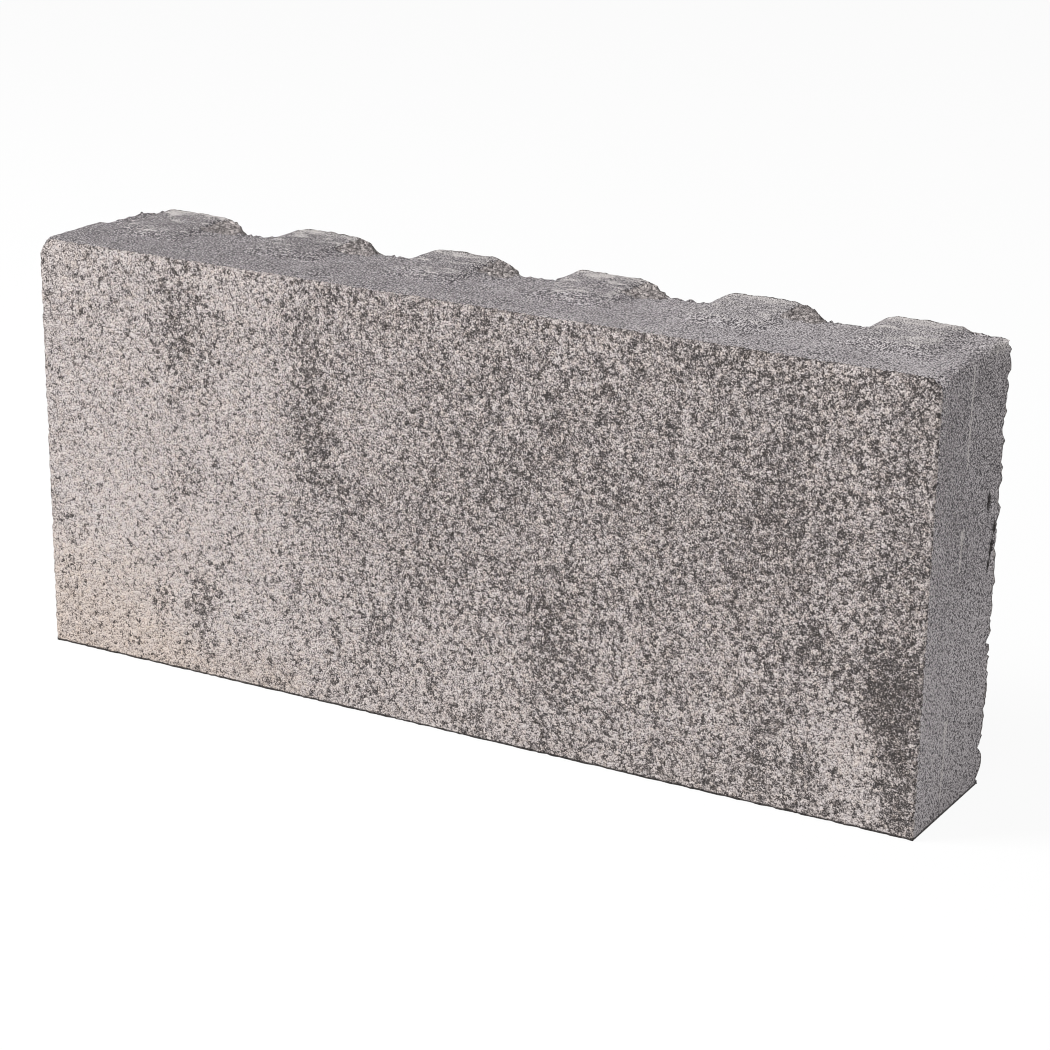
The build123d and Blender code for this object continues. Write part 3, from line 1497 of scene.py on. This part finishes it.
@dataclass(frozen=True)
class Studio:
    """The white ground, the soft lamps and the camera.

    The camera's place and angles are those at which the block's edges fall where the photograph has
    them. Lengths are in millimetres from the centre of the block's footprint, and angles in degrees.
    rise is the camera's shift, as the block lies below the middle of the photograph's lens axis.
    """

    camera_place: tuple[float, float, float] = (850.5, -1461.0, 681.5)
    azimuth: float = 29.55
    downward: float = 20.84
    roll: float = 0.89
    lens: float = 101.19
    rise: float = 0.119
    sensor: float = 36.0
    sharpness: float = 1.0
    ground_half: float = 6000.0
    ground_colour: str = "#f4f4f4"
    ground_glow: float = 0.92
    sky_strength: float = 0.42
    lamps: tuple[Lamp, ...] = (
        Lamp("key", (-1700, -1250, 2300), 1100, 92),
        Lamp("fill", (900, -2500, 800), 1600, 38),
    )
    lamp_aim_height: float = 133.0

    @staticmethod
    def seen(tree: bpy.types.NodeTree) -> bpy.types.NodeSocket:
        """Adds the test for rays by which the camera sees a surface.

        Args:
            tree: the tree that it goes into.

        Returns:
            1 for a ray straight from the camera, off gloss or through glass, and 0 for the others.
        """
        rays = add_node(tree, "ShaderNodeLightPath")
        seen = rays.outputs["Is Camera Ray"]
        for name in ("Is Glossy Ray", "Is Transmission Ray"):
            seen = add_node(
                tree, "ShaderNodeMath", {"operation": "MAXIMUM"}, {0: seen, 1: rays.outputs[name]}
            ).outputs[0]
        return seen

    def ground(self) -> None:
        """Makes the pale ground, which keeps a soft shadow under the block."""
        half = self.ground_half * MM
        mesh = bpy.data.meshes.new("ground")
        mesh.from_pydata(
            [(-half, -half, 0), (half, -half, 0), (half, half, 0), (-half, half, 0)], [], [(0, 1, 2, 3)]
        )
        ground = bpy.data.objects.new("ground", mesh)
        bpy.context.scene.collection.objects.link(ground)
        material = bpy.data.materials.new("white_paper_ground")
        material.use_nodes = True
        tree = material.node_tree
        tree.nodes.clear()
        share = add_node(
            tree, "ShaderNodeMath", {"operation": "MULTIPLY"}, {0: self.seen(tree), 1: self.ground_glow}
        ).outputs[0]
        paper = add_node(
            tree, "ShaderNodeBsdfDiffuse", None, {"Color": linear(self.ground_colour)}
        )
        white = add_node(tree, "ShaderNodeEmission", None, {"Color": (1, 1, 1, 1), "Strength": 1.0})
        both = add_node(
            tree, "ShaderNodeMixShader", None, {0: share, 1: paper.outputs[0], 2: white.outputs[0]}
        )
        add_node(tree, "ShaderNodeOutputMaterial", None, {"Surface": both.outputs[0]})
        mesh.materials.append(material)
        ground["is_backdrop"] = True

    def sky(self) -> None:
        """Surrounds the block with even white light, seen as pure white."""
        world = bpy.data.worlds.new("white_studio")
        world.use_nodes = True
        tree = world.node_tree
        tree.nodes.clear()
        strength = add_node(
            tree, "ShaderNodeMapRange", None,
            {"Value": self.seen(tree), "To Min": self.sky_strength, "To Max": 1.0},
        ).outputs[0]
        light = add_node(
            tree, "ShaderNodeBackground", None, {"Color": (1, 1, 1, 1), "Strength": strength}
        )
        add_node(tree, "ShaderNodeOutputWorld", None, {"Surface": light.outputs[0]})
        bpy.context.scene.world = world

    def camera(self) -> None:
        """Sets the camera at the photograph's place, angle and lens."""
        turn, down, lean = (math.radians(a) for a in (self.azimuth, self.downward, self.roll))
        forward = Vector((
            -math.sin(turn) * math.cos(down), math.cos(turn) * math.cos(down), -math.sin(down),
        ))
        level = Vector((math.cos(turn), math.sin(turn), 0.0))
        upright = level.cross(forward)
        right = level * math.cos(lean) + upright * math.sin(lean)
        up = upright * math.cos(lean) - level * math.sin(lean)
        data = bpy.data.cameras.new("camera")
        data.lens = self.lens
        data.sensor_width = self.sensor
        data.shift_y = self.rise
        camera = bpy.data.objects.new("camera", data)
        camera.matrix_world = Matrix.Translation(Vector(self.camera_place) * MM) @ Matrix(
            (right, up, -forward)
        ).transposed().to_4x4()
        bpy.context.scene.collection.objects.link(camera)
        bpy.context.scene.camera = camera

    def build(self) -> None:
        """Makes the whole studio."""
        self.ground()
        self.sky()
        for lamp in self.lamps:
            lamp.build(Vector((0, 0, self.lamp_aim_height)) * MM)
        self.camera()
        settings = bpy.context.scene.view_settings
        settings.view_transform = "Standard"
        bpy.context.scene.cycles.filter_width = self.sharpness


def corners(box: tuple[Vector, Vector]) -> list[list[float]]:
    """Writes a box as plain lists.

    Args:
        box: its lowest and highest corners.

    Returns:
        The two corners.
    """
    return [list(map(float, corner)) for corner in box]


def main() -> None:
    """Builds the block and its studio, and reports the piece."""
    logging.basicConfig(level=logging.INFO, format="%(name)s: %(message)s")
    cad_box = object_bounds()
    block = WallBlock()
    piece = block.build()
    piece.data.materials.append(Concrete().build(block))
    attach(piece, BODY)
    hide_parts(BLOCK_NODE)
    triangles = sum(len(face.vertices) - 2 for face in piece.data.polygons)
    log.info("%s: %d points, %d triangles", piece.name, len(piece.data.vertices), triangles)
    Studio().build()
    sizes = {"cad": corners(cad_box), "visual": corners(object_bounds())}
    log.info("box %s", sizes)


if __name__ == "__main__":
    main()
